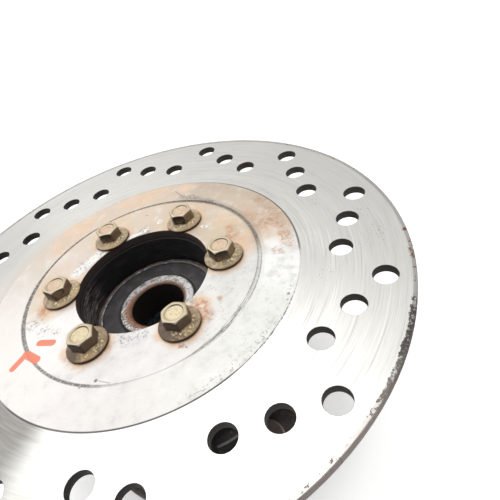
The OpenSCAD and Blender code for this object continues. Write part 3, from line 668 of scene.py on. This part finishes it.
rubber = rubberMaterial()
outerSteel = outerRaceMaterial()
innerSteel = innerRaceMaterial()
cageSteel = plainSteel("cageSteel", bearing["cage"], bearing["pit"], 0.35)
plateSteel = plainSteel("plateSteel", bearing["plate"], bearing["race"], 0.35)
ballSteel = plainSteel("ballSteel", bearing["ball"], bearing["plate"], 0.08)
for end in ("upper", "lower"):
    dress(end + "_outer_race", outerSteel)
    dress(end + "_inner_race", innerSteel)
    dress(end + "_balls", ballSteel)
    for name in ("cage_top", "cage_base", "cage_rivets"):
        dress(f"{end}_{name}", cageSteel)
    for name in ("seal_top", "seal_base"):
        dress(f"{end}_{name}", rubber)
    for name in ("seal_plate_top", "seal_plate_base"):
        dress(f"{end}_{name}", plateSteel)
dress("distance_spacer", plainSteel("spacerSteel", bearing["spacer"], bearing["dark"], 0.5, 0.4))
print("hub and bearings dressed")


bolt = {
    "dish": srgb(224, 192, 170), "dishOlive": srgb(228, 214, 178), "rim": srgb(208, 190, 158),
    "side": srgb(124, 98, 70), "sideDark": srgb(52, 38, 29), "sideLight": srgb(160, 130, 98),
    "flange": srgb(222, 200, 168), "flangeNear": srgb(170, 144, 116), "flangeDark": srgb(128, 106, 84),
    # bright, sheen and gold are colours of painted highlights
    "flangeLeftTone": srgb(90, 74, 64), "dirt": srgb(52, 40, 32), "bright": srgb(255, 244, 214),
    "sheen": srgb(206, 174, 128), "gold": srgb(255, 242, 196), "spot": srgb(176, 150, 122),
    "plated": (-97, 42, 10),  # the side of the disc where the bolts have kept their plating
    # directions along the axle: painted shade on the front-left flats and a painted highlight on the front
    # chamfer, painted light on the right-facing flats, a painted shade crescent in the dish, a darker left
    # slope on the flange and painted sheen on its front-right slope
    "frontLeftSide": (-0.5, -0.86), "lightSide": (0.95, -0.3), "dishShade": (-0.8, -0.6),
    "flangeLeftSide": (-0.95, -0.3), "sheenSide": (0.6, -0.8),
    "turns": (58, 41, 51, 20, 32, 32),  # where each head came to rest, in degrees
    "height": 6.0, "apothem": 4.0, "corners": 44.0,
    "chamferStart": 3.66, "chamferAngle": 30, "rounding": 0.14,
    "dishRadius": 3.1, "dishDepth": 0.55, "dishWall": 0.42,
    "coneHeight": 2.1, "coneMiddle": 5.0, "coneFoot": 6.1, "fillet": 0.42,
    "flangeRadius": 6.8, "flangeEdge": 1.0, "threadRadius": 3.0, "tip": 0.75, "reach": 15.0, "round": 96,
}


def boltMaterial():
    b = bolt
    g = Finish("boltZinc")
    wear = g.noise(g.place, 1.6, 5.0, 0.68)
    patch = g.noise(g.place, 5.0, 3.0, 0.5)
    spark = g.ramp(g.noise(g.place, 0.8, 4.0, 0.72), 0.51, 0.6)
    height = g.math("SUBTRACT", g.z, discTop)
    crown = g.ramp(height, b["height"] - 0.9, b["height"] - 0.7)
    level = g.ramp(g.up, 0.45, 0.8)
    plated = g.facing(*b["plated"])

    # the flats of the head: wear, painted shade on the front-left flats and painted light on the
    # right-facing ones
    facing = g.toward(*b["frontLeftSide"])
    wearAndShade = g.most(g.ramp(wear, 0.42, 0.66), g.times(g.ramp(facing, 0.55, 0.9), g.ramp(height, 2.4, 5.0)))
    side = g.mix(b["side"], b["sideDark"], g.most(wearAndShade, g.times(plated, 0.85)))
    lit = g.times(g.ramp(g.toward(*b["lightSide"]), 0.5, 0.9), g.blend(0.7, 0.3, wear))
    side = g.coat(side, b["sideLight"], lit, g.blend(1.0, 0.7, plated))

    # its top, the dish in it and the chamfer, with a painted highlight on the front chamfer and a painted
    # shade crescent on the dish's far wall
    dish = g.mix(b["dish"], b["dishOlive"], g.most(g.times(g.ramp(patch, 0.5, 0.62), 0.5), plated))
    dish = g.coat(dish, b["spot"], g.ramp(g.noise(g.place, 0.9, 4.0, 0.7), 0.5, 0.62), 0.5)
    inDish = g.times(crown, g.fall(height, b["height"] - 0.42, b["height"] - 0.3))
    colour = g.coat(side, g.mix(b["rim"], dish, inDish), crown, level)
    chamferHighlight = g.times(crown, g.band(g.up, 0.4, 0.955, 0.03), g.ramp(facing, -0.35, 0.2))
    colour = g.coat(colour, b["bright"], chamferHighlight, 0.6)
    dishWall = g.times(crown, g.band(height, b["height"] - 0.44, b["height"] - 0.1, 0.05))
    dishWall = g.times(dishWall, g.fall(g.up, 0.75, 0.9))
    farSide = g.ramp(g.toward(*b["dishShade"]), -0.1, 0.35)
    colour = g.coat(colour, g.mix(b["rim"], b["sideDark"], farSide), dishWall, 0.8)

    # the flange: darker on its left slope, with a painted sheen and painted glints on its front-right slope,
    # dirt in the crease and dirt with painted shade on its edge
    low = g.fall(height, b["coneHeight"] + 0.15, b["coneHeight"] + 0.5)
    flange = g.coat(b["flange"], b["flangeNear"], plated, 0.8)
    flange = g.coat(flange, b["flangeDark"], g.ramp(wear, 0.42, 0.62), 0.7)
    colour = g.coat(colour, flange, low, g.ramp(g.up, 0.3, 0.7))
    # darker on the flange's left-facing slope
    leftSlopeDark = g.times(g.ramp(g.toward(*b["flangeLeftSide"]), -0.05, 0.22), g.blend(0.25, 0.9, plated), low)
    colour = g.coat(colour, b["flangeLeftTone"], leftSlopeDark, g.ramp(g.up, 0.3, 0.7), g.blend(0.7, 1.0, wear))
    # painted highlight: a darker base, then a painted gold sheen and glints on the front-right slope
    sheenPlace = g.times(g.ramp(g.toward(*b["sheenSide"]), 0.1, 0.28), low, g.ramp(g.up, 0.5, 0.9))
    colour = g.coat(colour, b["flangeDark"], sheenPlace, 0.6)
    colour = g.coat(colour, b["sheen"], sheenPlace, g.ramp(patch, 0.44, 0.6), g.blend(0.45, 0.75, wear))
    colour = g.coat(colour, b["gold"], sheenPlace, spark, g.blend(0.3, 1.0, g.ramp(height, 1.1, 1.7)))
    # dirt in the crease at the root of the flats, and dirt with painted shade on the flange's edge at the
    # foot
    root = g.times(g.band(height, b["coneHeight"] - 0.1, b["coneHeight"] + 0.35, 0.2), 0.5)
    foot = g.fall(height, 0.6, 1.0)
    colour = g.mix(colour, b["dirt"], g.most(root, g.times(foot, 0.92)))

    grimy = g.most(foot, g.times(root, 0.8), g.times(g.fall(g.up, 0.2, 0.5), 0.6))
    roughness = g.blend(g.blend(0.36, 0.54, wear), 0.7, grimy)
    metallic = g.blend(0.4, 0.1, grimy)
    return g.done(colour, roughness, metallic, g.bump(g.plus(wear, g.times(spark, 0.5)), 0.025))


def hexReach(angle, apothem, sharp):  # distance to a hexagon with slightly rounded corners
    total = 0.0
    for k in range(6):
        c = math.cos(angle - math.radians(30 + 60 * k))
        total += max(c, 0.0) ** sharp
    return apothem / total ** (1 / sharp)


def boltMesh():
    b = bolt
    top = b["height"]
    floor = top - b["dishDepth"]
    slope = math.tan(math.radians(b["chamferAngle"]))
    cone = (b["coneHeight"] - b["flangeEdge"]) / (b["flangeRadius"] - b["apothem"])

    def chamferAt(r):
        return top - max(0.0, r - b["chamferStart"]) * slope

    def coneAt(r):
        return b["coneHeight"] - (r - b["apothem"]) * cone

    dish, flat, rim = b["dishRadius"], b["chamferStart"], b["flangeRadius"]
    shank, soft = b["threadRadius"], b["rounding"]
    rows = []
    for k in range(b["round"]):
        angle = 2 * math.pi * k / b["round"]
        edge = hexReach(angle, b["apothem"], b["corners"])
        mid = max(edge + 0.45, b["coneMiddle"])
        line = [
            (1.2, floor + 0.03), (2.2, floor), (dish - 0.5, floor),  # the dish
            (dish - b["dishWall"], floor + 0.05), (dish - 0.08, top - 0.14),  # its wall
            (dish + 0.06, top - 0.04), (dish + 0.2, top), (flat - 0.14, top), (flat + 0.04, top - 0.03),
            (edge - soft, chamferAt(edge - soft)), (edge - 0.04, chamferAt(edge) - 0.02),  # the chamfer
            (edge, chamferAt(edge) - soft), (edge, coneAt(edge) + b["fillet"]),  # a flat
            (edge + 0.05, coneAt(edge) + 0.2), (edge + 0.2, coneAt(edge + 0.2) + 0.06),
            (mid, coneAt(mid)), (b["coneFoot"], coneAt(b["coneFoot"])),  # the cone
            (rim - 0.25, coneAt(rim - 0.25) - 0.01), (rim - 0.07, b["flangeEdge"] - 0.06),
            (rim, b["flangeEdge"] - 0.22), (rim, 0.2), (rim - 0.12, 0.02),  # the flange's edge
            (shank + 0.1, 0.0), (shank, -0.1),  # the shank
            (shank, b["tip"] - b["reach"]), (shank - b["tip"], -b["reach"]),
        ]
        rows.append((angle, line))
    points = [(0, 0, (floor + 0.04) * mm)]
    count = len(rows[0][1])
    for ring in range(count):
        for angle, line in rows:
            r, z = line[ring]
            points.append((r * math.cos(angle) * mm, r * math.sin(angle) * mm, z * mm))
    n = b["round"]
    faces = [(0, 1 + k, 1 + (k + 1) % n) for k in range(n)]
    for ring in range(count - 1):
        low = 1 + ring * n
        for k in range(n):
            j = (k + 1) % n
            faces.append((low + k, low + n + k, low + n + j, low + j))
    last = len(points)
    points.append((0, 0, -b["reach"] * mm))
    base = 1 + (count - 1) * n
    faces += [(base + (k + 1) % n, base + k, last) for k in range(n)]
    mesh = bpy.data.meshes.new("boltShape")
    mesh.from_pydata(points, [], faces)
    mesh.shade_smooth()
    return mesh


def treeStart(name, inputs):  # a node tree with named inputs and one mesh output
    tree = bpy.data.node_groups.new(name, "GeometryNodeTree")
    ids = {}
    for label, kind in inputs:
        ids[label] = tree.interface.new_socket(label, in_out="INPUT", socket_type=kind).identifier
    tree.interface.new_socket("Mesh", in_out="OUTPUT", socket_type="NodeSocketGeometry")
    start = tree.nodes.new("NodeGroupInput")
    return tree, ids, start.outputs


def treeNode(tree, kind, **inputs):
    n = tree.nodes.new(kind)
    for label, value in inputs.items():
        target = n.inputs[label.replace("_", " ")]
        if isinstance(value, bpy.types.NodeSocket):
            tree.links.new(value, target)
        else:
            target.default_value = value
    return n


def treeEnd(tree, geometry, material):
    real = treeNode(tree, "GeometryNodeRealizeInstances", Geometry=geometry)
    done = treeNode(tree, "GeometryNodeSetMaterial", Geometry=real.outputs[0], Material=material)
    end = tree.nodes.new("NodeGroupOutput")
    tree.links.new(done.outputs[0], end.inputs[0])


def grow(name, start, tree, settings):  # runs a tree and keeps its result as a plain mesh
    host = bpy.data.objects.new(name + "Seed", start)
    scene.collection.objects.link(host)
    modifier = host.modifiers.new("grow", "NODES")
    modifier.node_group = tree
    for key, value in settings.items():
        modifier[key] = value
    host.update_tag()
    depsgraph = bpy.context.evaluated_depsgraph_get()
    mesh = bpy.data.meshes.new_from_object(host.evaluated_get(depsgraph), depsgraph=depsgraph)
    host.modifiers.remove(modifier)
    bpy.data.objects.remove(host)
    mesh.name = name
    piece = bpy.data.objects.new(name, mesh)
    scene.collection.objects.link(piece)
    return piece


def makeBolts():
    shape = bpy.data.objects.new("boltShape", boltMesh())
    scene.collection.objects.link(shape)
    places = bpy.data.meshes.new("boltPlaces")
    places.from_pydata([(x * mm, y * mm, discTop * mm) for x, y in boltCentres()], [], [])
    turns = places.attributes.new("turn", "FLOAT", "POINT")
    turns.data.foreach_set("value", [math.radians(t) for t in bolt["turns"]])
    tree, ids, given = treeStart("boltsOnPoints", [
        ("Places", "NodeSocketGeometry"), ("Bolt", "NodeSocketObject"), ("Finish", "NodeSocketMaterial")])
    turn = treeNode(tree, "GeometryNodeInputNamedAttribute", Name="turn")
    turn.data_type = "FLOAT"
    spin = treeNode(tree, "ShaderNodeCombineXYZ", Z=turn.outputs["Attribute"])
    source = treeNode(tree, "GeometryNodeObjectInfo", Object=given["Bolt"])
    dots = treeNode(tree, "GeometryNodeMeshToPoints", Mesh=given["Places"])
    placed = treeNode(
        tree, "GeometryNodeInstanceOnPoints",
        Points=dots.outputs[0], Instance=source.outputs["Geometry"], Rotation=spin.outputs[0])
    treeEnd(tree, placed.outputs[0], given["Finish"])
    piece = grow("flangeBolts", places, tree, {ids["Bolt"]: shape, ids["Finish"]: boltMaterial()})
    bpy.data.objects.remove(shape)
    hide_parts("disc_bolts")
    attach(piece, "hub")


makeBolts()
print("bolts made")


studio = {
    "floorWhite": (0.8, 0.8, 0.8, 1.0), "floorHalf": 3.0,
    "glowNear": 0.36, "glowFar": 0.57, "glowReach": (0.06, 0.08),  # of the floor, by distance in metres
    "low": 0.72, "high": 1.14, "rise": (0.62, 0.88),  # light from low down and from high up
    "side": 0.24, "sideReach": (-0.28, -0.02), "front": 0.5, "frontReach": (-0.45, 0.15),
    "zenith": 0.86, "zenithReach": (0.9, 0.97), "fill": 1.03,
    "keyPower": 3.5, "keySize": 0.92, "keyPlace": (-0.19, 0.57, 1.27),
}
camera = {
    "place": (0.03804, -0.11993, 0.17846),
    "right": (0.94957, -0.20629, -0.23616), "up": (0.31355, 0.6156, 0.723),
    "lens": 32.0, "sensor": 36.0, "nearest": 0.005,
}


def makeFloor():
    mesh = bpy.data.meshes.new("floor")
    half = studio["floorHalf"]
    corners = [(-half, -half, 0), (half, -half, 0), (half, half, 0), (-half, half, 0)]
    mesh.from_pydata(corners, [], [(0, 1, 2, 3)])
    floor = bpy.data.objects.new("floor", mesh)
    scene.collection.objects.link(floor)
    mat = bpy.data.materials.new("floorWhite")
    mat.use_nodes = True
    g = Graph(mat.node_tree)
    shader = g.tree.nodes["Principled BSDF"]
    shader.inputs["Base Color"].default_value = studio["floorWhite"]
    shader.inputs["Roughness"].default_value = 0.9
    shader.inputs["Specular IOR Level"].default_value = 0.0
    shader.inputs["Emission Color"].default_value = (1, 1, 1, 1)
    away = g.vector("LENGTH", g.coords.outputs["Object"])
    path = g.tree.nodes.new("ShaderNodeLightPath").outputs
    seen = g.most(path["Is Camera Ray"], path["Is Glossy Ray"], path["Is Transmission Ray"])
    glow = g.ramp(away, *studio["glowReach"], studio["glowNear"], studio["glowFar"])
    g.feed(g.times(glow, seen), shader.inputs["Emission Strength"])
    mesh.materials.append(mat)


def makeWorld():  # brightest high up, dimmer straight overhead and on the near side
    s = studio
    world = bpy.data.worlds.new("studio")
    scene.world = world
    world.use_nodes = True
    g = Graph(world.node_tree)
    x, y, z = g.split(g.coords.outputs["Generated"])
    sky = g.plus(g.ramp(z, *s["rise"], s["low"], s["high"]), g.ramp(x, *s["sideReach"], s["side"], 0.0))
    front = g.ramp(y, *s["frontReach"], s["front"], 1.0)
    light = g.times(sky, front, g.ramp(z, *s["zenithReach"], 1.0, s["zenith"]))
    path = g.tree.nodes.new("ShaderNodeLightPath").outputs
    light = g.times(light, g.blend(1.0, s["fill"], path["Is Diffuse Ray"]))
    back = g.tree.nodes["Background"]
    g.feed(g.blend(light, 1.0, path["Is Camera Ray"]), back.inputs["Strength"])
    back.inputs["Color"].default_value = (1, 1, 1, 1)


def makeLamp(name, power, size, place):
    light = bpy.data.lights.new(name, "AREA")
    light.energy = power
    light.size = size
    lamp = bpy.data.objects.new(name, light)
    lamp.location = place
    aim = Vector((0, 0, discTop * mm)) - Vector(place)
    lamp.rotation_euler = aim.to_track_quat("-Z", "Y").to_euler()
    scene.collection.objects.link(lamp)


def makeCamera():
    data = bpy.data.cameras.new("camera")
    data.sensor_width = camera["sensor"]
    data.lens = camera["lens"]
    data.clip_start = camera["nearest"]
    right, up = Vector(camera["right"]), Vector(camera["up"])
    back = right.cross(up)
    turn = Matrix((right, up, back)).transposed().to_4x4()
    obj = bpy.data.objects.new("camera", data)
    obj.matrix_world = Matrix.Translation(camera["place"]) @ turn
    scene.collection.objects.link(obj)
    scene.camera = obj


makeFloor()
makeWorld()
makeLamp("key", studio["keyPower"], studio["keySize"], studio["keyPlace"])
makeCamera()
scene.view_settings.view_transform = "Standard"
print("studio set")
